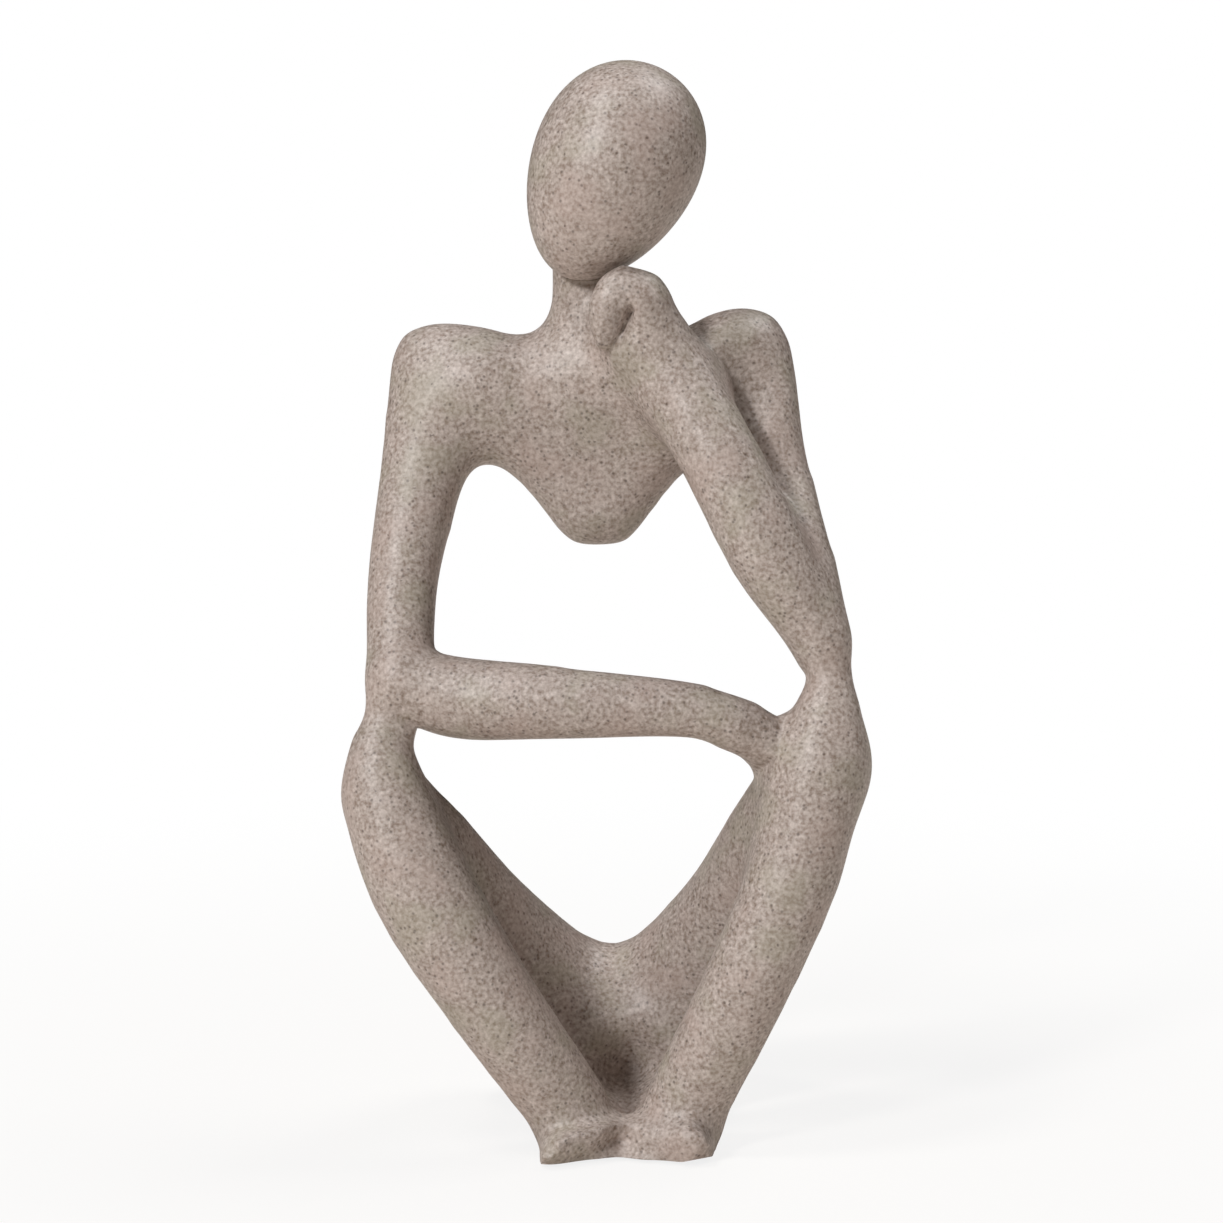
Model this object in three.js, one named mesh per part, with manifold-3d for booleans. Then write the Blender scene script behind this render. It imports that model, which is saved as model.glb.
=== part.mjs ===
// Seated figure ornament: a person sitting on the ground, chin on one hand, the other arm across the knees.
// It is cast in stone-effect resin. The egg-shaped head is a casting of its own, bonded into a cup.
// Millimetres, +Z up, the figure faces -Y. Left and right are the viewer's, looking at the front.

import * as THREE from "three";
import { mergeVertices } from "three/addons/utils/BufferGeometryUtils.js";
import Module from "manifold-3d";

// Head: an egg, blunt end up, leaning to the right
const headLength = 54.4;
const headWidth = 39.7;
const headTaper = 0.158;
const headLeanDegrees = 25.3;
const headNodDegrees = 10;
const headHeight = 228.4;
const headOffset = 1.2;
const headForward = 5;
const glueGap = 0.3;

// Chest: a shield-shaped slab that ends in a free tip
const chestHalfWidth = 24.4;
const chestCentre = -2;
const chestTopHeight = 178.5;
const chestTipHeight = 148;
const chestTipHalfWidth = 2.2;
const chestEdgeRadius = 9.9;
const chestTipRadius = 9.1;
const chestHalfDepth = 12.5;
const chestSetback = 4;

// Neck
const neckRadius = 7.5;
const neckOffset = -5.1;
const neckSetback = 1.5;
const neckFlare = 12.4;

// Shoulders and upper arms
const shoulderSetback = 6;
const shoulderRadius = 7.6;
const shoulderSpan = 78.6;
const shoulderCentre = -4.1;
const leftShoulderHeight = 182.4;
const rightShoulderHeight = 186.3;
const upperArmRadius = 9.3;
const upperArmBack = 3;
const leftUpperArmShare = 0.37;
const leftUpperArmIn = 0.6;
const leftLowArmShare = 0.7;
const leftLowArmOut = 1.3;
const leftLowArmBack = 2;
const leftLowArmRadius = 8.3;
const rightUpperArmShare = 0.4;
const rightUpperArmIn = 1;
const rightLowArmShare = 0.8;
const rightLowArmOut = 0.2;
const rightLowArmRadius = 7.2;
const armpitFillet = 21.9;

// Elbows
const elbowForward = 26;
const elbowSpan = 99.2;
const elbowCentre = 1.1;
const leftElbowHeight = 110.4;
const leftElbowRadius = 7.7;
const rightElbowHeight = 119;
const rightElbowRadius = 6.4;
const elbowFillet = 2;

// Forearm that lies across the knees, with its hand tucked behind the right knee
const lapForearmShare = 0.18;
const lapForearmRadius = 9.5;
const lapForearmSag = 2.7;
const lapMiddleShare = 0.5;
const lapMiddleRadius = 8.5;
const lapMiddleSag = 1.2;
const lapMiddleForward = 3;
const lapWristRadius = 6.3;
const lapWristDrop = 6.2;
const lapWristForward = 33;
const lapHandRadius = 6.4;
const lapHandLength = 30;
const lapHandSetback = 12;
const lapHandDrop = 10;
const lapHandReach = 0.76;
const lapHandBend = 4;
const lapHandSteps = 3;

// Forearm that rises to the chin, and its closed hand
const chinForearmRadius = 9.2;
const chinForearmForward = 3;
const chinLowShare = 0.3;
const chinLowIn = 0.7;
const chinHighShare = 0.65;
const chinHighOut = 0.3;
const chinWristRadius = 8.7;
const chinHandRadius = 6.7;
const chinHandOffset = 7.9;
const chinHandHeight = 198.4;
const chinHandForward = 15;
const fingerRadius = 3.6;
const knuckleRadius = 4.2;
const fingertipRadius = 3.2;
const fingerCurl = 8.1;
const fingerForward = 3.5;
const wristOut = 5.6;
const wristBack = 2;
const wristDrop = 13.4;
const palmRadius = 6.4;
const palmHeelRadius = 4.8;
const palmHeelDrop = 11.5;
const fingerArch = 3.2;
const fingerLength = 8.6;
const pocketWidth = 2.4;
const pocketLength = 9;
const pocketDepth = 5;
const pocketOut = 3.9;
const pocketRise = -1.4;
const pocketSlant = 1.7;
const pocketRound = 0.6;
const fingerFillet = 1.5;
const handFillet = 1;
const chestForearmFillet = 12;
const forearmFillet = 4;

// Knees and shins
const kneeForward = 31;
const kneeSpan = 103.1;
const kneeCentre = -0.95;
const leftKneeHeight = 88;
const rightKneeHeight = 94.8;
const leftKneeRadius = 9.1;
const rightKneeRadius = 9.6;
const leftShinRadius = 11.9;
const rightShinRadius = 10.6;
const leftShinBow = 4.4;
const rightShinBow = 4;
const shinBelly = 5;
const highShinShare = 0.3;
const lowShinShare = 0.65;
const shinLowBow = 0.7;
const waistShare = 0.33;
const waistOut = 1.7;
const leftWaistRadius = 4.8;
const rightWaistRadius = 5.6;
const waistFillet = 2;

// Ankles and feet
const ankleSpan = 27.8;
const feetCentre = 4.7;
const ankleForward = 33;
const ankleHeight = 9.4;
const ankleRadius = 9.5;
const footSpan = 19.8;
const footForward = 37;
const footLength = 40;
const footWidth = 20.8;
const footHeight = 7.6;
const footSquareness = 4;
const footCrown = 3;
const leftFootDroop = 0.12;
const rightFootDroop = 0;
const toeFaceReach = 3.5;
const toeTurnDegrees = 29;
const leftToeTiltDegrees = 24;
const rightToeTiltDegrees = 6;
const leftToeRound = 2;
const rightToeRound = 3;

// Thighs and seat
const hipSpan = 42.6;
const seatCentre = 1.1;
const seatSetback = 6;
const hipHeight = 28;
const hipRadius = 19.2;
const seatBaseSpan = 18;
const seatBaseForward = 4;
const seatBaseHeight = 13;
const seatBaseRadius = 16;
const heelRadius = 6;
const heelHeight = 5;
const heelWebHeight = 6;
const heelWebRadius = 16;
const thighRadius = 14;
const leftThighKneeRadius = 9.8;
const rightThighKneeRadius = 11.2;
const thighKneeSetback = 4;
const thighKneeDrop = 5;
const thighSpread = 0.3;
const lowThighShare = 0.32;
const highThighShare = 0.65;
const leftValleyFillet = 3;
const rightValleyFillet = 7;
const ankleFillet = 2;
const footFillet = 3.5;
const heelFillet = 6;
const seatFillet = 10;
const seatSaddleFillet = 19.5;

// Soft pads under the soles and the seat
const padThickness = 1;
const footPadRadius = 4;
const seatPadRadius = 7;
const padFacets = 32;

// Facets
const cell = 4;
const handPull = 0.7;
const handReach = 28;
const footPull = 0.6;
const footReach = 30;
const headSegments = 30;
const headRings = 22;

const wasm = await Module();
wasm.setup();
const degree = Math.PI / 180;

const point = (x, y, z) => new THREE.Vector3(x, y, z);
const sphere = (centre, radius) => ({ centre, radius });

// A point on the way from one place to another, pushed aside by an offset.
function along(from, to, share, aside = point(0, 0, 0)) {
  return from.clone().lerp(to, share).add(aside);
}

// A limb is the skin over spheres whose centres and radii follow one smooth curve.
const LIMB_STEPS = 6;
const FAR = 25;
function limb(...spheres) {
  const path = new THREE.CatmullRomCurve3(spheres.map((s) => s.centre));
  const widths = new THREE.CatmullRomCurve3(spheres.map((s) => point(s.radius, 0, 0)), false, "catmullrom");
  const count = (spheres.length - 1) * LIMB_STEPS;
  const places = Array.from({ length: count + 1 }, (_, i) => path.getPoint(i / count));
  const radii = Array.from({ length: count + 1 }, (_, i) => widths.getPoint(i / count).x);
  const hull = new THREE.Sphere().setFromPoints(places);
  hull.radius += Math.max(...radii);
  return (p) => {
    const away = hull.distanceToPoint(p);
    if (away > FAR) return away;
    let least = Infinity;
    for (let i = 0; i < count; i++) {
      const a = places[i];
      const b = places[i + 1];
      const bx = b.x - a.x;
      const by = b.y - a.y;
      const bz = b.z - a.z;
      const px = p.x - a.x;
      const py = p.y - a.y;
      const pz = p.z - a.z;
      const t = Math.min(Math.max((px * bx + py * by + pz * bz) / (bx * bx + by * by + bz * bz), 0), 1);
      const gap = Math.hypot(px - t * bx, py - t * by, pz - t * bz);
      least = Math.min(least, gap - radii[i] - t * (radii[i + 1] - radii[i]));
    }
    return least;
  };
}

// The nearer of two distances, with a fillet of about the given size where they meet.
function blend(a, b, fillet) {
  const share = Math.max(fillet - Math.abs(a - b), 0) / fillet;
  return Math.min(a, b) - (share * share * fillet) / 4;
}

// The farther of two distances, with the edge between them rounded.
const trim = (a, b, round) => -blend(-a, -b, round);

// Head

const headCentre = point(headOffset, -headForward, headHeight);
const headTurn = new THREE.Euler(headNodDegrees * -degree, headLeanDegrees * degree, 0, "YXZ");

// The egg's outline, from its narrow end to its blunt one, as a revolve about Z.
function eggSolid(growth) {
  const profile = [];
  for (let i = 0; i <= headRings; i++) {
    const angle = (Math.PI * i) / headRings;
    const u = -Math.cos(angle);
    const radius = (headWidth / 2) * (1 + headTaper * u) * Math.sin(angle);
    const across = i === 0 || i === headRings ? 0 : radius + growth * Math.sin(angle);
    profile.push(new THREE.Vector2(across, (headLength / 2 + growth) * u));
  }
  const geometry = new THREE.LatheGeometry(profile, headSegments);
  geometry.rotateX(Math.PI / 2);
  geometry.applyMatrix4(new THREE.Matrix4().makeRotationFromEuler(headTurn));
  geometry.translate(headCentre.x, headCentre.y, headCentre.z);
  return solid(geometry);
}

// Trunk

const chestOutline = [
  [chestCentre - chestHalfWidth, chestTopHeight],
  [chestCentre + chestHalfWidth, chestTopHeight],
  [chestCentre + chestTipHalfWidth, chestTipHeight],
  [chestCentre - chestTipHalfWidth, chestTipHeight],
];

// Distance from a point of the XZ plane to the chest's core outline, negative inside.
function outlineDistance(x, z) {
  let least = Infinity;
  let inside = true;
  chestOutline.forEach(([ax, az], i) => {
    const [bx, bz] = chestOutline[(i + 1) % chestOutline.length];
    const ex = bx - ax;
    const ez = bz - az;
    const px = x - ax;
    const pz = z - az;
    const t = Math.min(Math.max((px * ex + pz * ez) / (ex * ex + ez * ez), 0), 1);
    least = Math.min(least, Math.hypot(px - t * ex, pz - t * ez));
    inside = inside && ex * pz - ez * px <= 0;
  });
  return inside ? -least : least;
}

// The slab is rounded at its edge and grows thinner towards its tip.
function chest(p) {
  const rise = THREE.MathUtils.smoothstep(p.z, chestTipHeight, chestTopHeight);
  const edge = THREE.MathUtils.lerp(chestTipRadius, chestEdgeRadius, rise);
  const depth = THREE.MathUtils.lerp(chestTipRadius, chestHalfDepth, rise);
  const out = Math.max(outlineDistance(p.x, p.z), 0);
  return Math.hypot(out, ((p.y - chestSetback) * edge) / depth) - edge;
}

const neck = limb(
  sphere(point(neckOffset, neckSetback, chestTopHeight), neckRadius),
  sphere(point(neckOffset, neckSetback, headHeight - headLength / 3), neckRadius),
);

// Arms

const leftShoulder = point(shoulderCentre - shoulderSpan / 2, shoulderSetback, leftShoulderHeight);
const rightShoulder = point(shoulderCentre + shoulderSpan / 2, shoulderSetback, rightShoulderHeight);
const leftElbow = point(elbowCentre - elbowSpan / 2, -elbowForward, leftElbowHeight);
const rightElbow = point(elbowCentre + elbowSpan / 2, -elbowForward, rightElbowHeight);

const leftArmAt = (share, out, back) => along(leftShoulder, leftElbow, share, point(-out, back, 0));
const leftUpperArm = limb(
  sphere(leftShoulder, shoulderRadius),
  sphere(leftArmAt(leftUpperArmShare, -leftUpperArmIn, upperArmBack), upperArmRadius),
  sphere(leftArmAt(leftLowArmShare, leftLowArmOut, leftLowArmBack), leftLowArmRadius),
  sphere(leftElbow, leftElbowRadius),
);
const rightArmAt = (share, out, back) => along(rightShoulder, rightElbow, share, point(out, back, 0));
const rightUpperArm = limb(
  sphere(rightShoulder, shoulderRadius),
  sphere(rightArmAt(rightUpperArmShare, -rightUpperArmIn, upperArmBack), shoulderRadius),
  sphere(rightArmAt(rightLowArmShare, rightLowArmOut, 0), rightLowArmRadius),
  sphere(rightElbow, rightElbowRadius),
);

const rightKnee = point(kneeCentre + kneeSpan / 2, -kneeForward, rightKneeHeight);
const lapWrist = point(rightKnee.x - lapHandLength, -lapWristForward, leftElbowHeight - lapWristDrop);
const lapHand = Array.from({ length: lapHandSteps }, (_, n) => {
  const share = (n + 1) / lapHandSteps;
  const aside = point(0, lapHandSetback, -lapHandDrop).multiplyScalar(share ** lapHandBend);
  return sphere(along(lapWrist, rightKnee, share * lapHandReach, aside), lapHandRadius);
});
const lapForearmAt = (share, forward, sag) => along(leftElbow, lapWrist, share, point(0, -forward, -sag));
const lapForearm = limb(
  sphere(leftElbow, leftElbowRadius),
  sphere(lapForearmAt(lapForearmShare, 0, lapForearmSag), lapForearmRadius),
  sphere(lapForearmAt(lapMiddleShare, lapMiddleForward, lapMiddleSag), lapMiddleRadius),
  sphere(lapWrist, lapWristRadius),
  ...lapHand,
);

const chinHand = point(chinHandOffset, -chinHandForward, chinHandHeight);
const chinWrist = chinHand.clone().add(point(wristOut, wristBack, -wristDrop));
const chinForearmAt = (share, out) => along(rightElbow, chinWrist, share, point(out, -chinForearmForward, 0));
const chinForearm = limb(
  sphere(rightElbow, rightElbowRadius),
  sphere(chinForearmAt(chinLowShare, -chinLowIn), chinForearmRadius),
  sphere(chinForearmAt(chinHighShare, chinHighOut), chinForearmRadius),
  sphere(chinWrist, chinWristRadius),
  sphere(chinHand, chinHandRadius),
);
// The fingers curl over from the palm, to the left and down, round a slanted pocket.
function curl(across, rise) {
  return chinHand.clone().add(point(-across * fingerCurl, -across * fingerForward, rise));
}
const fingers = limb(
  sphere(chinHand, chinHandRadius),
  sphere(curl(0.5, fingerArch), (chinHandRadius + fingerRadius) / 2),
  sphere(curl(0.9, fingerArch / 6), knuckleRadius),
  sphere(curl(1, -fingerLength / 2), fingerRadius),
  sphere(curl(0.9, -fingerLength), fingertipRadius),
);
const palm = limb(
  sphere(chinHand, chinHandRadius),
  sphere(curl(0.3, -fingerLength / 2).setY(-chinHandForward), palmRadius),
  sphere(curl(0.15, -palmHeelDrop).setY(-chinHandForward), palmHeelRadius),
);
const pocketTop = point(chinHandOffset - pocketOut + pocketSlant, 0, chinHandHeight + pocketRise);
const pocketEnd = pocketTop.clone().add(point(-2 * pocketSlant, 0, -pocketLength));
const pocketPath = limb(sphere(pocketTop, pocketWidth / 2), sphere(pocketEnd, pocketWidth / 2));
const pocketFace = chinHandForward + chinHandRadius;
const pocketProbe = point(0, 0, 0);
function pocket(p) {
  const inwards = ((p.y + pocketFace) * pocketWidth) / (2 * pocketDepth);
  return pocketPath(pocketProbe.set(p.x, inwards, p.z));
}

// Legs

const leftKnee = point(kneeCentre - kneeSpan / 2, -kneeForward, leftKneeHeight);
const leftAnkle = point(feetCentre - ankleSpan / 2, -ankleForward, ankleHeight);
const rightAnkle = point(feetCentre + ankleSpan / 2, -ankleForward, ankleHeight);
const leftHip = point(seatCentre - hipSpan / 2, seatSetback, hipHeight);
const rightHip = point(seatCentre + hipSpan / 2, seatSetback, hipHeight);

// From the elbow through a narrow waist, over the knee and down the shin, which bows out and forwards.
function lowerLeg(elbow, waistRadius, knee, shinRadius, bow, ankle) {
  const side = Math.sign(knee.centre.x);
  const high = point(side * bow, -shinBelly * shinLowBow, 0);
  const low = point(side * bow * shinLowBow, -shinBelly, 0);
  return limb(
    elbow,
    sphere(along(elbow.centre, knee.centre, waistShare, point(side * waistOut, 0, 0)), waistRadius),
    knee,
    sphere(along(knee.centre, ankle, highShinShare, high), shinRadius),
    sphere(along(knee.centre, ankle, lowShinShare, low), (shinRadius + ankleRadius) / 2),
    sphere(ankle, ankleRadius),
  );
}
const leftShin = lowerLeg(
  sphere(leftElbow, leftElbowRadius),
  leftWaistRadius,
  sphere(leftKnee, leftKneeRadius),
  leftShinRadius,
  leftShinBow,
  leftAnkle,
);
const rightShin = lowerLeg(
  sphere(rightElbow, rightElbowRadius),
  rightWaistRadius,
  sphere(rightKnee, rightKneeRadius),
  rightShinRadius,
  rightShinBow,
  rightAnkle,
);

function thigh(knee, kneeRadius, hip) {
  const spread = point(Math.sign(knee.x) * thighSpread, 0, 0);
  return limb(
    sphere(knee.clone().add(point(0, thighKneeSetback, -thighKneeDrop)), kneeRadius),
    sphere(along(knee, hip, lowThighShare, spread), (2 * kneeRadius + thighRadius) / 3),
    sphere(along(knee, hip, highThighShare, spread), thighRadius),
    sphere(hip, hipRadius),
  );
}
const leftThigh = thigh(leftKnee, leftThighKneeRadius, leftHip);
const rightThigh = thigh(rightKnee, rightThighKneeRadius, rightHip);

// The seat rests on a narrower base. Low heels and a web between them reach back to it.
const seatBaseY = seatSetback - seatBaseForward;
const seatBase = (side) => point(seatCentre + (side * seatBaseSpan) / 2, seatBaseY, seatBaseHeight);
const base = limb(sphere(seatBase(-1), seatBaseRadius), sphere(seatBase(1), seatBaseRadius));
const heelWeb = limb(
  sphere(point(feetCentre, -ankleForward, heelWebHeight - heelWebRadius), heelWebRadius),
  sphere(point(seatCentre, seatSetback, heelWebHeight - heelWebRadius), heelWebRadius),
);
const heelEnd = (place) => sphere(place.clone().setZ(heelHeight), heelRadius);
const heel = (ankle, seatSide) => limb(heelEnd(ankle), heelEnd(seatSide));
const leftHeel = heel(leftAnkle, seatBase(-1));
const rightHeel = heel(rightAnkle, seatBase(1));

// A foot is a rounded block, lower on its outer side, cut to a flat front that leans and turns.
function foot(side, droop, tiltDegrees, toeRound) {
  const centre = point(feetCentre + (side * footSpan) / 2, -footForward, 0);
  const turn = toeTurnDegrees * degree;
  const tilt = tiltDegrees * degree;
  const normal = point(-side * Math.sin(turn), -Math.cos(turn), 0).multiplyScalar(Math.cos(tilt));
  normal.z = -Math.sin(tilt);
  const face = normal.dot(point(feetCentre, -footForward - toeFaceReach, 0));
  return (p) => {
    const x = (p.x - centre.x) / (footWidth / 2);
    const y = (p.y - centre.y) / (footLength / 2);
    const z = p.z / (footHeight * (1 - droop * THREE.MathUtils.clamp(side * x, -1, 1)));
    const sum = x ** footSquareness + y ** footSquareness + Math.abs(z) ** footCrown;
    const reach = sum ** (2 / (footSquareness + footCrown)) || 1e-6;
    const block = (reach - 1) * Math.min(footWidth / 2, footHeight);
    return trim(block, normal.dot(p) - face, toeRound);
  };
}
const leftFoot = foot(-1, leftFootDroop, leftToeTiltDegrees, leftToeRound);
const rightFoot = foot(1, rightFootDroop, rightToeTiltDegrees, rightToeRound);

// Signed distance from a point to the body's skin.
function body(p) {
  const core = blend(chest(p), neck(p), neckFlare);
  const shoulders = blend(blend(core, leftUpperArm(p), armpitFillet), rightUpperArm(p), armpitFillet);
  const forearm = blend(chinForearm(p), palm(p), fingerFillet);
  let trunk = Math.min(blend(shoulders, forearm, forearmFillet), blend(core, forearm, chestForearmFillet));
  trunk = trim(blend(trunk, fingers(p), fingerFillet), -pocket(p), pocketRound);
  trunk = blend(trunk, lapForearm(p), elbowFillet);
  const thighs = blend(leftThigh(p), rightThigh(p), seatSaddleFillet);
  const heels = blend(Math.min(leftHeel(p), rightHeel(p)), heelWeb(p), heelFillet);
  const seat = blend(blend(thighs, base(p), seatFillet), heels, heelFillet);
  const shins = blend(leftShin(p), rightShin(p), ankleFillet);
  const lower = blend(shins, blend(leftFoot(p), rightFoot(p), ankleFillet), footFillet);
  const across = THREE.MathUtils.smoothstep(p.x, leftAnkle.x, rightAnkle.x);
  const legs = blend(seat, lower, THREE.MathUtils.lerp(leftValleyFillet, rightValleyFillet, across));
  return blend(trunk, legs, p.x < 0 ? waistFillet : handFillet);
}

// Skin

// Evenly spaced stops along one axis, past both ends.
function stops(from, to) {
  const count = Math.ceil((to - from) / cell) + 2;
  return Array.from({ length: count + 1 }, (_, i) => (from + to) / 2 + (i - count / 2) * cell);
}

// The grid is drawn together round the hand and the feet, where the forms are smaller.
const handFocus = chinHand.clone().add(point(-fingerCurl / 2, -chinHandRadius, -fingerLength / 3));
const footFocus = point(feetCentre, -footForward - toeFaceReach, footHeight / 2);
function drawnIn(p) {
  p.lerp(handFocus, handPull * Math.exp(-p.distanceTo(handFocus) / handReach));
  return p.lerp(footFocus, footPull * Math.exp(-p.distanceTo(footFocus) / footReach));
}

// A grid cell's corners count 0 to 7, one bit an axis. An edge is its lower corner and its axis.
const cornerStep = (corner) => [corner & 1, (corner >> 1) & 1, corner >> 2];
const edgeKey = (corner, axis) => corner * 3 + axis;
const cellEdges = [];
for (let corner = 0; corner < 8; corner++)
  for (let axis = 0; axis < 3; axis++) if (!(corner & (1 << axis))) cellEdges.push([corner, axis]);

// The faces of a cell, each as its four corners in turn.
const cellFaces = [0, 1, 2].flatMap((axis) => {
  const u = 1 << ((axis + 1) % 3);
  const v = 1 << ((axis + 2) % 3);
  return [0, 1 << axis].map((side) => [side, side + u, side + u + v, side + v]);
});

// Groups the crossed edges of one cell into separate sheets, so that two skins may pass through one cell.
function sheets(inside) {
  const group = new Map();
  for (const [corner, axis] of cellEdges) {
    const key = edgeKey(corner, axis);
    if (inside[corner] !== inside[corner | (1 << axis)]) group.set(key, new Set([key]));
  }
  const join = (a, b) => {
    if (group.get(a) === group.get(b)) return;
    for (const key of group.get(b)) {
      group.get(a).add(key);
      group.set(key, group.get(a));
    }
  };
  for (const face of cellFaces) {
    const between = (n) => {
      const [a, b] = [face[n % 4], face[(n + 1) % 4]];
      return edgeKey(Math.min(a, b), Math.log2(Math.abs(a - b)));
    };
    const crossed = [0, 1, 2, 3].filter((n) => group.has(between(n)));
    if (crossed.length === 2) join(between(crossed[0]), between(crossed[1]));
    if (crossed.length === 4) face.forEach((corner, n) => inside[corner] && join(between(n), between(n + 3)));
  }
  return new Set(group.values());
}

// The surface where a distance is zero: a vertex for each sheet in a cell, a quad on each edge it cuts.
function skin(distance, stopsOf) {
  const size = stopsOf.map((list) => list.length);
  const stride = [1, size[0], size[0] * size[1]];
  const at = (i, j, k) => i + j * stride[1] + k * stride[2];
  const values = new Float64Array(size[0] * size[1] * size[2]);
  const place = (i, j, k) => drawnIn(point(stopsOf[0][i], stopsOf[1][j], stopsOf[2][k]));
  for (let k = 0; k < size[2]; k++)
    for (let j = 0; j < size[1]; j++)
      for (let i = 0; i < size[0]; i++) values[at(i, j, k)] = distance(place(i, j, k));

  const shifts = Array.from({ length: 8 }, (_, corner) => at(...cornerStep(corner)));
  const vertices = [];
  const vertexOf = new Map();
  for (let k = 0; k < size[2] - 1; k++)
    for (let j = 0; j < size[1] - 1; j++)
      for (let i = 0; i < size[0] - 1; i++) {
        const cellAt = at(i, j, k);
        const inside = shifts.map((shift) => values[cellAt + shift] < 0);
        if (inside.every((state) => state === inside[0])) continue;
        for (const sheet of sheets(inside)) {
          const sum = point(0, 0, 0);
          for (const key of sheet) {
            const corner = Math.floor(key / 3);
            const [di, dj, dk] = cornerStep(corner);
            const from = values[cellAt + shifts[corner]];
            const to = values[cellAt + shifts[corner | (1 << key % 3)]];
            const [ei, ej, ek] = cornerStep(corner | (1 << key % 3));
            sum.add(place(i + di, j + dj, k + dk).lerp(place(i + ei, j + ej, k + ek), from / (from - to)));
            vertexOf.set(cellAt * 24 + key, vertices.length);
          }
          vertices.push(sum.divideScalar(sheet.size));
        }
      }

  const quads = [];
  for (let cellAt = 0; cellAt < values.length; cellAt++)
    for (let axis = 0; axis < 3; axis++) {
      const inside = values[cellAt] < 0;
      if (cellAt + stride[axis] >= values.length || inside === values[cellAt + stride[axis]] < 0) continue;
      const [u, v] = [1 << ((axis + 1) % 3), 1 << ((axis + 2) % 3)];
      const vertexAt = (corner) => vertexOf.get((cellAt - shifts[corner]) * 24 + edgeKey(corner, axis));
      const ring = [u + v, v, 0, u].map(vertexAt);
      quads.push(inside ? ring : ring.reverse());
    }
  return { vertices, quads };
}

// Evens out the net and lays each vertex exactly on the surface.
function settle({ vertices, quads }, distance, rounds) {
  const neighbours = vertices.map(() => new Set());
  for (const quad of quads)
    quad.forEach((v, n) => {
      neighbours[v].add(quad[(n + 1) % 4]);
      neighbours[v].add(quad[(n + 3) % 4]);
    });
  const step = 0.02;
  const slope = point(0, 0, 0);
  const probe = point(0, 0, 0);
  const project = (v) => {
    for (let n = 0; n < 3; n++) {
      const here = distance(v);
      slope.set(
        distance(probe.copy(v).setX(v.x + step)) - here,
        distance(probe.copy(v).setY(v.y + step)) - here,
        distance(probe.copy(v).setZ(v.z + step)) - here,
      );
      slope.divideScalar(step);
      v.addScaledVector(slope, -here / Math.max(slope.lengthSq(), 0.25));
    }
  };
  for (let round = 0; round < rounds; round++) {
    const means = vertices.map((v, i) => {
      const mean = point(0, 0, 0);
      for (const n of neighbours[i]) mean.add(vertices[n]);
      return mean.divideScalar(neighbours[i].size);
    });
    vertices.forEach((v, i) => project(v.lerp(means[i], 0.5)));
  }
}

// Each quad is split along the diagonal that lies closer to the surface.
function triangulate({ vertices, quads }, distance) {
  const middle = point(0, 0, 0);
  const miss = (a, b) => Math.abs(distance(middle.copy(vertices[a]).lerp(vertices[b], 0.5)));
  const split = ([a, b, c, d]) => (miss(a, c) < miss(b, d) ? [a, b, c, a, c, d] : [a, b, d, b, c, d]);
  const index = quads.flatMap(split);
  const geometry = new THREE.BufferGeometry().setFromPoints(vertices);
  geometry.setIndex(index);
  return geometry;
}

function solid(geometry) {
  geometry.deleteAttribute("normal");
  geometry.deleteAttribute("uv");
  const merged = mergeVertices(geometry, 1e-4);
  const vertProperties = merged.attributes.position.array;
  const triVerts = new Uint32Array(merged.index.array);
  return new wasm.Manifold(new wasm.Mesh({ numProp: 3, vertProperties, triVerts }));
}

function surface(made) {
  const mesh = made.getMesh();
  const geometry = new THREE.BufferGeometry();
  geometry.setAttribute("position", new THREE.BufferAttribute(mesh.vertProperties, 3));
  geometry.setIndex(new THREE.BufferAttribute(mesh.triVerts, 1));
  return geometry;
}

// The body, cut flat at the ground and to the head's cup.
function bodySolid() {
  const legReach = Math.max(leftShinRadius + leftShinBow, rightShinRadius + rightShinBow);
  const out = Math.max(kneeSpan, elbowSpan, shoulderSpan) / 2 + Math.abs(shoulderCentre) + legReach;
  const back = Math.max(seatSetback + hipRadius, shoulderSetback + shoulderRadius) + cell;
  const front = Math.max(kneeForward + shinBelly + legReach, footForward + footLength / 2) + cell;
  const net = skin(body, [stops(-out, out), stops(-front, back), stops(-2 * hipRadius, headHeight)]);
  settle(net, body, 4);
  const ground = new THREE.BoxGeometry(4 * out, 4 * front, 2 * hipRadius);
  ground.translate(0, 0, -hipRadius);
  return solid(triangulate(net, body)).subtract(solid(ground)).subtract(eggSolid(glueGap));
}

// The finished pieces

const stoneResin = new THREE.MeshStandardMaterial({ color: 0xa89b8e, roughness: 0.62, metalness: 0 });
const headResin = new THREE.MeshStandardMaterial({ color: 0xab9e91, roughness: 0.6, metalness: 0 });
const padRubber = new THREE.MeshStandardMaterial({ color: 0x2c2a28, roughness: 0.9, metalness: 0 });

const figure = new THREE.Group();
const pieces = new THREE.Group();
figure.add(pieces);

function addPiece(name, geometry, material) {
  const mesh = new THREE.Mesh(geometry, material);
  mesh.name = name;
  pieces.add(mesh);
  return mesh;
}

function addPad(name, centre, radius) {
  const disc = new THREE.CylinderGeometry(radius, radius, padThickness, padFacets);
  disc.rotateX(Math.PI / 2);
  addPiece(name, disc, padRubber.clone()).position.set(centre.x, centre.y, -padThickness / 2);
}

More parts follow.
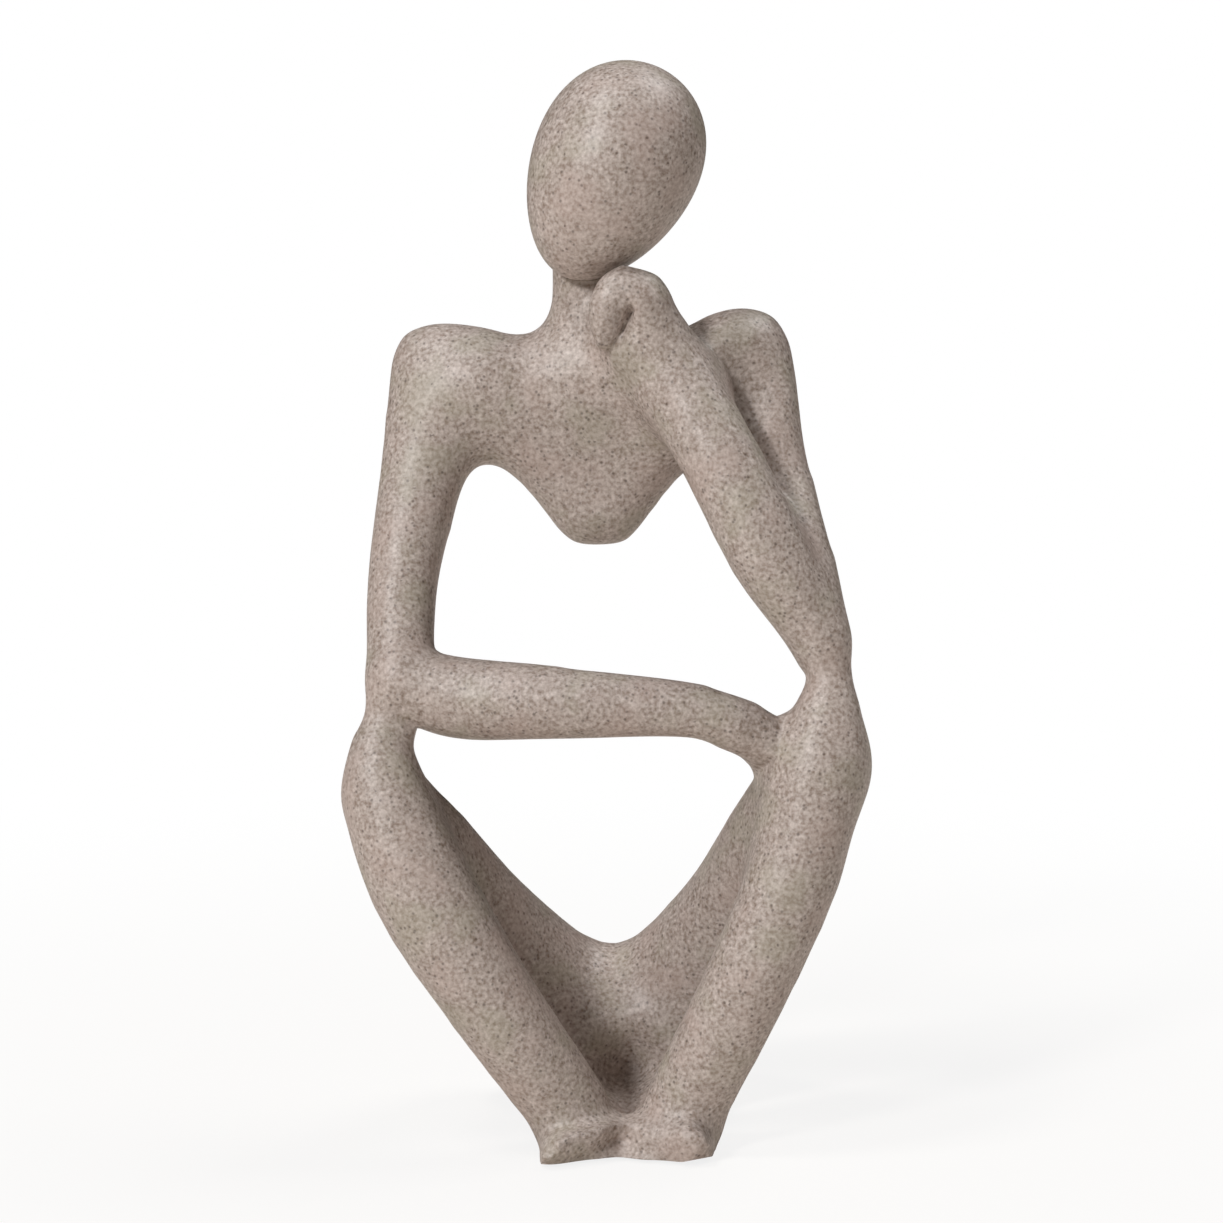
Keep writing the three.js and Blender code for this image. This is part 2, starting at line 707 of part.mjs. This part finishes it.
addPiece("body_casting", surface(bodySolid()), stoneResin);
addPiece("head_casting", surface(eggSolid(0)), headResin);
addPad("left_foot_pad", point(feetCentre - footSpan / 2, -ankleForward, 0), footPadRadius);
addPad("right_foot_pad", point(feetCentre + footSpan / 2, -ankleForward, 0), footPadRadius);
addPad("left_seat_pad", seatBase(-1), seatPadRadius);
addPad("right_seat_pad", seatBase(1), seatPadRadius);

// The origin is the middle of the outline, at the height of the surface that the pads stand on.
const middle = new THREE.Box3().setFromObject(pieces).getCenter(point(0, 0, 0));
pieces.position.set(-middle.x, -middle.y, padThickness);

export default figure;
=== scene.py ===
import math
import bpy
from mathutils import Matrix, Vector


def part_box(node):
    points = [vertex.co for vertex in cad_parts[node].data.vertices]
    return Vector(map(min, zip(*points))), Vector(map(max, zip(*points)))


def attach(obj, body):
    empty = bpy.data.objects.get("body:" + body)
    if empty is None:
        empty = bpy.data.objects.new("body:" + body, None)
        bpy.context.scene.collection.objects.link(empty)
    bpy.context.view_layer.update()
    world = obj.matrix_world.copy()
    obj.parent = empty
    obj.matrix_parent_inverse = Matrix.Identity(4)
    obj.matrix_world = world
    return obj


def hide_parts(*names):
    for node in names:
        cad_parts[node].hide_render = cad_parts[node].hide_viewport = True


bl_info = {
    "name": "Seated figure ornament",
    "version": (1, 0, 0),
    "blender": (4, 5, 0),
    "location": "3D View > Sidebar > Figure",
    "description": "Stone-effect skin for the cast figure, its pads and a pale studio",
    "category": "Object",
}

import bmesh
import bpy
from bpy.props import FloatProperty, FloatVectorProperty, IntProperty, PointerProperty
from mathutils import Vector

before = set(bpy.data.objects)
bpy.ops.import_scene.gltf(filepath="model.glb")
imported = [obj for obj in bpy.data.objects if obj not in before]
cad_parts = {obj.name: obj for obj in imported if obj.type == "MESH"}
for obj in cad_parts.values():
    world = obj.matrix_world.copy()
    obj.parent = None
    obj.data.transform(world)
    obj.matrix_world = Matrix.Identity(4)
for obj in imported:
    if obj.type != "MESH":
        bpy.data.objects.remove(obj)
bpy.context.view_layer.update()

MM = 0.001
PAD_NODES = [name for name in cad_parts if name.endswith("_pad")]


def linear(red, green, blue):
    """A colour given as 0 to 255 per channel on screen, as the light value that the shader reads."""

    def channel(value):
        value /= 255
        return value / 12.92 if value <= 0.04045 else ((value + 0.055) / 1.055) ** 2.4

    return tuple(channel(value) for value in (red, green, blue))


# Sizes and colours

JOINED = 0.002 * MM  # corners of loose triangles closer than this are one
FLAT = 0.05 * MM  # how far a face may rise and still lie on the sole
RIM_STEP = 0.5 * MM  # shortest edge kept along the sole's rim
QUAD_ANGLE = math.radians(60)  # two triangles that fold less than this may become one quad

# Places pressed in or drawn out, in millimetres: place, push, reach
PRESSED = {
    "pit behind the ankles": ((4.5, -1.5, 13), (0, 9, -1), 14),
    "floor of the pit": ((4.5, -12, 9), (0, 2, -5), 10),
    "notch between the toes": ((3.5, -32, 3.5), (0, 4, 0), 7),
    "shoulder behind the forearm": ((32, 3.5, 178), (0, 6, 0), 14),
    "outer corner of the right foot": ((25, -35.5, 1), (-2.5, 1.5, 2), 6),
    "crown of the right foot": ((19, -34, 9), (0, -1, 1.2), 7),
}

# The slot inside the curled fingers, in millimetres
SLOT_PLACE = (3, -6, 192)
SLOT_REACH = 5


class StoneProperties(bpy.types.PropertyGroup):
    shade: FloatVectorProperty(
        name="Shade", description="Brown end of the fine grain",
        subtype="COLOR", size=3, default=linear(130, 111, 98),
    )
    speck: FloatVectorProperty(
        name="Dark speck", description="Dark brown of the largest specks",
        subtype="COLOR", size=3, default=linear(66, 52, 44),
    )
    cream: FloatVectorProperty(
        name="Cream", description="Pale end of the fine grain",
        subtype="COLOR", size=3, default=linear(212, 200, 193),
    )
    blush: FloatVectorProperty(
        name="Blush", description="Faint pink cast of the large cloudy patches",
        subtype="COLOR", size=3, default=linear(188, 167, 158),
    )
    moss: FloatVectorProperty(
        name="Moss", description="Faint green cast of the other cloudy patches",
        subtype="COLOR", size=3, default=linear(170, 166, 146),
    )
    grain_size: FloatProperty(
        name="Grain size", description="Width of one fine grain",
        unit="LENGTH", default=0.92 * MM, min=0.1 * MM, max=5 * MM,
    )
    speck_size: FloatProperty(
        name="Speck size", description="Width of the cells that may hold a dark speck",
        unit="LENGTH", default=0.95 * MM, min=0.2 * MM, max=8 * MM,
    )
    patch_size: FloatProperty(
        name="Patch size", description="Width of the cloudy patches",
        unit="LENGTH", default=14 * MM, min=2 * MM, max=80 * MM,
    )
    tint_share: FloatProperty(
        name="Tint share", description="How much each grain differs from its neighbours",
        default=0.1, min=0, max=1,
    )
    cluster_share: FloatProperty(
        name="Cluster share", description="How much the grain darkens and lightens in clusters",
        default=0.2, min=0, max=1,
    )
    tone_low: FloatProperty(
        name="Tone low", description="Grain value at which the shade colour is reached",
        default=0.34, min=0, max=2,
    )
    tone_high: FloatProperty(
        name="Tone high", description="Grain value at which the cream colour is reached",
        default=0.95, min=0, max=2,
    )
    blush_amount: FloatProperty(
        name="Blush amount", description="Strength of the pink patches",
        subtype="FACTOR", default=0.35, min=0, max=1,
    )
    moss_amount: FloatProperty(
        name="Moss amount", description="Strength of the green patches",
        subtype="FACTOR", default=0.3, min=0, max=1,
    )
    speck_chance: FloatProperty(
        name="Speck chance", description="Share of the cells with a dark speck in the densest clusters",
        subtype="FACTOR", default=0.3, min=0, max=1,
    )
    speck_amount: FloatProperty(
        name="Speck amount", description="Strength of the dark specks",
        subtype="FACTOR", default=0.6, min=0, max=1,
    )
    roughness: FloatProperty(
        name="Roughness", description="Satin finish of the cast surface",
        subtype="FACTOR", default=0.46, min=0, max=1,
    )
    roughness_spread: FloatProperty(
        name="Roughness spread", description="How far the grain makes the finish vary",
        subtype="FACTOR", default=0.16, min=0, max=1,
    )
    relief: FloatProperty(
        name="Relief", description="Height of the sandy grain",
        unit="LENGTH", default=0.022 * MM, min=0, max=1 * MM,
    )


class CastingProperties(bpy.types.PropertyGroup):
    levels: IntProperty(
        name="Smoothing", description="Subdivision levels of the body's skin",
        default=2, min=1, max=3,
    )
    head_levels: IntProperty(
        name="Head smoothing", description="Subdivision levels of the egg's skin",
        default=3, min=1, max=4,
    )
    allowance: FloatProperty(
        name="Allowance", description="How far the skin is let out before smoothing draws it in",
        unit="LENGTH", default=0.28 * MM, min=0, max=1 * MM,
    )
    sole_crease: FloatProperty(
        name="Sole crease", description="Sharpness kept at the rim of the flat sole",
        subtype="FACTOR", default=0.6, min=0, max=1,
    )
    sole_margin: FloatProperty(
        name="Sole margin", description="Height above the sole below which the skin isn't let out",
        unit="LENGTH", default=1.5 * MM, min=0, max=10 * MM,
    )
    fold_angle: FloatProperty(
        name="Fold angle", description="Folds of the body sharper than this stay crisp",
        subtype="ANGLE", default=math.radians(45), min=0, max=math.pi,
    )
    fold_crease: FloatProperty(
        name="Fold crease", description="Sharpness kept at those folds and at the head's cup",
        subtype="FACTOR", default=0.8, min=0, max=1,
    )


class StudioProperties(bpy.types.PropertyGroup):
    distance: FloatProperty(
        name="Camera distance", description="From the lens to the figure's middle",
        unit="LENGTH", default=0.9, min=0.3, max=5,
    )
    elevation: FloatProperty(
        name="Camera height", description="Angle of the camera above the horizon",
        subtype="ANGLE", default=math.radians(8), min=0, max=math.radians(80),
    )
    aim: FloatVectorProperty(
        name="Aim", description="Point that the camera looks at",
        subtype="XYZ_LENGTH", size=3, default=(0.0012, 0.0131, 0.124),
    )
    lens: FloatProperty(
        name="Lens", description="Focal length in millimetres on a 36 mm sensor",
        default=109.8, min=20, max=300,
    )
    key_place: FloatVectorProperty(
        name="Key place", description="Where the key light stands",
        subtype="XYZ_LENGTH", size=3, default=(-1.5, -2.12, 1.62),
    )
    key_size: FloatProperty(
        name="Key size", description="Width of the key light",
        unit="LENGTH", default=0.45, min=0.01, max=5,
    )
    key_power: FloatProperty(
        name="Key light", description="Power of the large light at the upper left",
        unit="POWER", default=49, min=0, max=200,
    )
    top_place: FloatVectorProperty(
        name="Top place", description="Where the top light hangs",
        subtype="XYZ_LENGTH", size=3, default=(-1.1, -0.64, 2.84),
    )
    top_size: FloatProperty(
        name="Top size", description="Width of the top light",
        unit="LENGTH", default=0.6, min=0.01, max=5,
    )
    top_power: FloatProperty(
        name="Top light", description="Power of the soft light high on the left",
        unit="POWER", default=30, min=0, max=200,
    )
    rim_place: FloatVectorProperty(
        name="Rim place", description="Where the rim light hangs",
        subtype="XYZ_LENGTH", size=3, default=(1.2, 0.59, 2.48),
    )
    rim_size: FloatProperty(
        name="Rim size", description="Width of the rim light",
        unit="LENGTH", default=1.2, min=0.01, max=5,
    )
    rim_power: FloatProperty(
        name="Rim light", description="Power of the light behind the right shoulder",
        unit="POWER", default=31, min=0, max=200,
    )
    floor_color: FloatVectorProperty(
        name="Floor", description="Colour that the pale floor throws back",
        subtype="COLOR", size=3, default=(0.86, 0.8, 0.74),
    )
    floor_glow: FloatProperty(
        name="Floor glow", description="How much of the floor close to the figure shows plain white",
        subtype="FACTOR", default=0.84, min=0, max=1,
    )
    ambient: FloatProperty(
        name="Ambient", description="Strength of the even light from all round",
        default=0.01, min=0, max=3,
    )


# Shader nodes


class Socket:
    """A node's output that can be used in plain arithmetic, which adds Math nodes."""

    def __init__(self, shader, output):
        self.shader = shader
        self.output = output

    def _math(self, operation, first, second):
        return self.shader.node("ShaderNodeMath", {"operation": operation}, {0: first, 1: second})

    def __add__(self, other):
        return self._math("ADD", self, other)

    def __sub__(self, other):
        return self._math("SUBTRACT", self, other)

    def __mul__(self, other):
        return self._math("MULTIPLY", self, other)

    def __gt__(self, other):
        return self._math("GREATER_THAN", self, other)

    def __lt__(self, other):
        return self._math("LESS_THAN", self, other)

    def __rsub__(self, other):
        return self._math("SUBTRACT", other, self)

    __radd__ = __add__
    __rmul__ = __mul__


class Shader:
    """Builds one material's nodes."""

    def __init__(self, name):
        self.material = bpy.data.materials.new(name)
        self.material.use_nodes = True
        self.tree = self.material.node_tree
        self.tree.nodes.clear()

    def node(self, kind, settings=None, values=None, output=0):
        made = self.tree.nodes.new(kind)
        for name, value in (settings or {}).items():
            setattr(made, name, value)
        for name, value in (values or {}).items():
            socket = made.inputs[name]
            if isinstance(value, Socket):
                self.tree.links.new(value.output, socket)
            else:
                socket.default_value = value
        return Socket(self, made.outputs[output])

    def mix(self, factor, first, second):
        made = self.tree.nodes.new("ShaderNodeMix")
        made.data_type = "RGBA"
        for index, value in ((0, factor), (6, first), (7, second)):
            if isinstance(value, Socket):
                self.tree.links.new(value.output, made.inputs[index])
            elif index == 0:
                made.inputs[index].default_value = value
            else:
                made.inputs[index].default_value = (*value, 1)
        return Socket(self, made.outputs[2])

    def ramp(self, value, low, high):
        """0 below low, 1 above high and a straight rise between them."""
        return self.node("ShaderNodeMapRange", None, {"Value": value, "From Min": low, "From Max": high})

    def step(self, value, low, high):
        """0 below low, 1 above high and a smooth rise between them."""
        return self.node(
            "ShaderNodeMapRange",
            {"interpolation_type": "SMOOTHSTEP"},
            {"Value": value, "From Min": low, "From Max": high},
        )

    def finish(self, surface):
        made = self.tree.nodes.new("ShaderNodeOutputMaterial")
        self.tree.links.new(surface.output, made.inputs["Surface"])
        return self.material


def stone(name, props, roughness):
    """Sandstone effect: fine grain from brown to cream, dark specks and faint cloudy patches."""
    s = Shader(name)
    place = s.node("ShaderNodeTexCoord", output="Object")

    def noise(size, detail):
        return s.node("ShaderNodeTexNoise", None, {"Vector": place, "Scale": 1 / size, "Detail": detail})

    def cells(size, shift):
        moved = s.node("ShaderNodeMapping", None, {"Vector": place, "Location": (shift * MM,) * 3})
        values = {"Vector": moved, "Scale": 1 / size}
        near = s.node("ShaderNodeTexVoronoi", None, values, "Distance")
        middle = s.node("ShaderNodeTexVoronoi", None, values, "Position")
        return near, s.node("ShaderNodeTexWhiteNoise", None, {"Vector": middle})

    patches = noise(props.patch_size, 2)
    clusters = noise(props.patch_size / 4, 2)
    grain = noise(props.grain_size, 1.5)
    tint = cells(props.grain_size, 3)[1]
    grains = grain + tint * props.tint_share + clusters * props.cluster_share
    tone = s.ramp(grains, props.tone_low, props.tone_high)
    color = s.mix(tone, props.shade, props.cream)
    color = s.mix(s.step(patches, 0.5, 0.7) * props.blush_amount, color, props.blush)
    color = s.mix(s.step(patches, 0.5, 0.32) * props.moss_amount, color, props.moss)
    near, chance = cells(props.speck_size, 7)
    speck = (chance < clusters * props.speck_chance) * s.step(near, 0.6, 0.1)
    color = s.mix(speck * props.speck_amount, color, props.speck)
    bump = s.node(
        "ShaderNodeBump", None,
        {"Strength": 0.6, "Distance": props.relief, "Height": grain - speck * 0.5},
    )
    return s.finish(s.node("ShaderNodeBsdfPrincipled", None, {
        "Base Color": color,
        "Roughness": grain * props.roughness_spread + (roughness - props.roughness_spread / 2),
        "Normal": bump,
    }))


def rubber():
    """Black moulded rubber with a dusty bloom."""
    s = Shader("pad_rubber")
    place = s.node("ShaderNodeTexCoord", output="Object")
    bloom = s.node("ShaderNodeTexNoise", None, {"Vector": place, "Scale": 600, "Detail": 3})
    color = s.mix(s.step(bloom, 0.45, 0.7) * 0.5, linear(44, 42, 41), linear(66, 63, 60))
    bump = s.node("ShaderNodeBump", None, {"Strength": 0.4, "Distance": 0.05 * MM, "Height": bloom})
    return s.finish(s.node("ShaderNodeBsdfPrincipled", None, {
        "Base Color": color, "Roughness": bloom * 0.2 + 0.75, "Normal": bump,
    }))


# Modelling


def deselect():
    if bpy.context.object and bpy.context.object.mode != "OBJECT":
        bpy.ops.object.mode_set(mode="OBJECT")
    bpy.ops.object.select_all(action="DESELECT")


def activate(obj):
    deselect()
    obj.select_set(True)
    bpy.context.view_layer.objects.active = obj


def select_rim(piece, sole):
    """Selects the rim of the faces that lie flat on the sole and says whether there are any."""
    bpy.ops.mesh.select_mode(type="FACE")
    bpy.ops.mesh.select_all(action="DESELECT")
    net = bmesh.from_edit_mesh(piece.data)
    flat = [face for face in net.faces if all(vertex.co.z < sole + FLAT for vertex in face.verts)]
    for face in flat:
        face.select = True
    bmesh.update_edit_mesh(piece.data)
    if len(flat) > 1:
        bpy.ops.mesh.region_to_loop()
    return len(flat) > 1


def copy_casting(node, name, sole_crease):
    """A copy of a casting's shape, joined up from loose triangles into a net of mostly quads."""
    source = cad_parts[node]
    piece = bpy.data.objects.new(name, source.data.copy())
    bpy.context.scene.collection.objects.link(piece)
    piece.data.materials.clear()
    activate(piece)
    if piece.data.has_custom_normals:
        bpy.ops.mesh.customdata_custom_splitnormals_clear()
    bpy.ops.object.mode_set(mode="EDIT")
    bpy.ops.mesh.select_all(action="SELECT")
    bpy.ops.mesh.remove_doubles(threshold=JOINED)
    sole = min(vertex.co.z for vertex in piece.data.vertices)
    if select_rim(piece, sole):
        bpy.ops.mesh.remove_doubles(threshold=RIM_STEP)
        select_rim(piece, sole)
        bpy.ops.mesh.mark_sharp()
        bpy.ops.transform.edge_crease(value=sole_crease)
    bpy.ops.mesh.select_all(action="SELECT")
    bpy.ops.mesh.tris_convert_to_quads(
        face_threshold=QUAD_ANGLE, shape_threshold=QUAD_ANGLE, sharp=True,
    )
    bpy.ops.mesh.mark_sharp(clear=True)
    return piece


def select_vertices(piece, wanted):
    """Selects the vertices of the piece in edit mode whose place passes the test."""
    bpy.ops.mesh.select_mode(type="VERT")
    bpy.ops.mesh.select_all(action="DESELECT")
    net = bmesh.from_edit_mesh(piece.data)
    for vertex in net.verts:
        vertex.select = wanted(vertex.co)
    net.select_flush_mode()
    bmesh.update_edit_mesh(piece.data)


def crease_folds(piece, angle, amount):
    """Keeps the folds sharper than the angle crisp."""
    bpy.ops.mesh.select_mode(type="EDGE")
    bpy.ops.mesh.select_all(action="DESELECT")
    net = bmesh.from_edit_mesh(piece.data)
    for edge in net.edges:
        edge.select = len(edge.link_faces) == 2 and edge.calc_face_angle() > angle
    bmesh.update_edit_mesh(piece.data)
    bpy.ops.transform.edge_crease(value=amount)


def press(piece, place, push, reach):
    """Pushes the skin near the place, fading out over the reach."""
    net = bmesh.from_edit_mesh(piece.data)
    nearest = min((vertex.co for vertex in net.verts), key=lambda co: (co - place).length).copy()
    select_vertices(piece, lambda spot: (spot - nearest).length < 0.01 * MM)
    bpy.ops.transform.translate(
        value=push, use_proportional_edit=True, use_proportional_connected=True,
        proportional_edit_falloff="SMOOTH", proportional_size=reach,
    )


def soften(piece, place, reach, repeat):
    """Evens out the skin near the place."""
    select_vertices(piece, lambda spot: (spot - place).length < reach)
    bpy.ops.mesh.vertices_smooth(factor=0.5, repeat=repeat)


def smooth(piece, levels):
    bpy.ops.object.mode_set(mode="OBJECT")
    bpy.ops.object.modifier_add(type="SUBSURF")
    modifier = piece.modifiers[-1]
    modifier.levels = levels
    modifier.render_levels = levels
    bpy.ops.object.modifier_apply(modifier=modifier.name)
    bpy.ops.object.shade_smooth()


# Operators


class FIGURE_OT_body(bpy.types.Operator):
    """Smooth the cast body and give it its stone-effect skin"""

    bl_idname = "figure.body"
    bl_label = "Body casting"

    def execute(self, context):
        props = context.scene.figure_casting
        piece = copy_casting("body_casting", "stone_body", props.sole_crease)
        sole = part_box("body_casting")[0].z
        select_vertices(piece, lambda place: place.z > sole + props.sole_margin)
        bpy.ops.transform.shrink_fatten(value=props.allowance)
        for place, push, reach in PRESSED.values():
            press(piece, Vector(place) * MM, Vector(push) * MM, reach * MM)
        soften(piece, Vector(SLOT_PLACE) * MM, SLOT_REACH * MM, 2)
        crease_folds(piece, props.fold_angle, props.fold_crease)
        smooth(piece, props.levels)
        stone_props = context.scene.figure_stone
        piece.data.materials.append(stone("stone_resin", stone_props, stone_props.roughness))
        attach(piece, "root")
        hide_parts("body_casting")
        return {"FINISHED"}


class FIGURE_OT_head(bpy.types.Operator):
    """Smooth the egg-shaped head and give it its stone-effect skin"""

    bl_idname = "figure.head"
    bl_label = "Head casting"

    def execute(self, context):
        props = context.scene.figure_casting
        piece = copy_casting("head_casting", "stone_head", props.sole_crease)
        smooth(piece, props.head_levels)
        stone_props = context.scene.figure_stone
        piece.data.materials.append(stone("head_resin", stone_props, stone_props.roughness - 0.04))
        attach(piece, "root")
        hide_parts("head_casting")
        return {"FINISHED"}


class FIGURE_OT_pads(bpy.types.Operator):
    """Give the four pads under the soles and the seat their rubber"""

    bl_idname = "figure.pads"
    bl_label = "Pads"

    def execute(self, context):
        material = rubber()
        for name in PAD_NODES:
            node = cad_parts[name]
            node.data.materials.clear()
            node.data.materials.append(material)
        return {"FINISHED"}


class FIGURE_OT_studio(bpy.types.Operator):
    """Set up the pale floor, the soft lights and the camera"""

    bl_idname = "figure.studio"
    bl_label = "Studio"

    def execute(self, context):
        props = context.scene.figure_studio
        scene = context.scene
        scene.view_settings.view_transform = "Standard"
        self.floor(props)
        self.world(scene, props)
        self.lamp("key_light", props.key_power, props.key_size, props.key_place, props)
        self.lamp("top_light", props.top_power, props.top_size, props.top_place, props)
        self.lamp("rim_light", props.rim_power, props.rim_size, props.rim_place, props)
        self.camera(scene, props)
        return {"FINISHED"}

    def floor(self, props):
        deselect()
        bpy.ops.mesh.primitive_plane_add(size=30)
        piece = bpy.context.object
        piece.name = "floor"
        s = Shader("floor_white")
        seen = s.node("ShaderNodeLightPath", output="Is Camera Ray")
        place = s.node("ShaderNodeTexCoord", output="Object")
        away = s.node("ShaderNodeVectorMath", {"operation": "LENGTH"}, {0: place}, "Value")
        glow = s.step(away, 0.05, 0.45) * (1 - props.floor_glow) + props.floor_glow
        matt = s.node("ShaderNodeBsdfDiffuse", None, {"Color": (*props.floor_color, 1)})
        white = s.node("ShaderNodeEmission", None, {"Color": (1, 1, 1, 1), "Strength": 1})
        mixed = s.node("ShaderNodeMixShader", None, {0: seen * glow, 1: matt, 2: white})
        piece.data.materials.append(s.finish(mixed))

    def world(self, scene, props):
        world = bpy.data.worlds.new("studio_world")
        scene.world = world
        world.use_nodes = True
        tree = world.node_tree
        tree.nodes.clear()
        path = tree.nodes.new("ShaderNodeLightPath")
        even = tree.nodes.new("ShaderNodeBackground")
        even.inputs["Strength"].default_value = props.ambient
        white = tree.nodes.new("ShaderNodeBackground")
        mixed = tree.nodes.new("ShaderNodeMixShader")
        for background in (even, white):
            background.inputs["Color"].default_value = (1, 1, 1, 1)
        made = tree.nodes.new("ShaderNodeOutputWorld")
        tree.links.new(path.outputs["Is Camera Ray"], mixed.inputs[0])
        tree.links.new(even.outputs[0], mixed.inputs[1])
        tree.links.new(white.outputs[0], mixed.inputs[2])
        tree.links.new(mixed.outputs[0], made.inputs["Surface"])

    def lamp(self, name, power, size, place, props):
        deselect()
        bpy.ops.object.light_add(type="AREA", location=place)
        lamp = bpy.context.object
        lamp.name = name
        lamp.data.energy = power
        lamp.data.size = size
        lamp.rotation_euler = (Vector(props.aim) - Vector(place)).to_track_quat("-Z", "Y").to_euler()

    def camera(self, scene, props):
        deselect()
        back = Vector((0, -math.cos(props.elevation), math.sin(props.elevation)))
        bpy.ops.object.camera_add(location=Vector(props.aim) + back * props.distance)
        camera = bpy.context.object
        camera.name = "camera"
        camera.rotation_euler = (-back).to_track_quat("-Z", "Y").to_euler()
        camera.data.lens = props.lens
        camera.data.sensor_width = 36
        camera.data.clip_start = 0.01
        camera.data.clip_end = 100
        scene.camera = camera


class FIGURE_PT_sidebar(bpy.types.Panel):
    bl_label = "Seated figure"
    bl_idname = "FIGURE_PT_sidebar"
    bl_space_type = "VIEW_3D"
    bl_region_type = "UI"
    bl_category = "Figure"

    def draw(self, context):
        layout = self.layout
        for operator in OPERATORS:
            layout.operator(operator.bl_idname)
        for key in GROUPS:
            group = getattr(context.scene, key)
            box = layout.box()
            for name in group.__annotations__:
                box.prop(group, name)


OPERATORS = (FIGURE_OT_body, FIGURE_OT_head, FIGURE_OT_pads, FIGURE_OT_studio)
GROUPS = {
    "figure_stone": StoneProperties,
    "figure_casting": CastingProperties,
    "figure_studio": StudioProperties,
}


def register():
    for cls in (*GROUPS.values(), *OPERATORS, FIGURE_PT_sidebar):
        bpy.utils.register_class(cls)
    for name, group in GROUPS.items():
        setattr(bpy.types.Scene, name, PointerProperty(type=group))


def unregister():
    for name in GROUPS:
        delattr(bpy.types.Scene, name)
    for cls in reversed((*GROUPS.values(), *OPERATORS, FIGURE_PT_sidebar)):
        bpy.utils.unregister_class(cls)


def main():
    register()
    bpy.ops.figure.body()
    bpy.ops.figure.head()
    bpy.ops.figure.pads()
    bpy.ops.figure.studio()


if __name__ == "__main__":
    main()
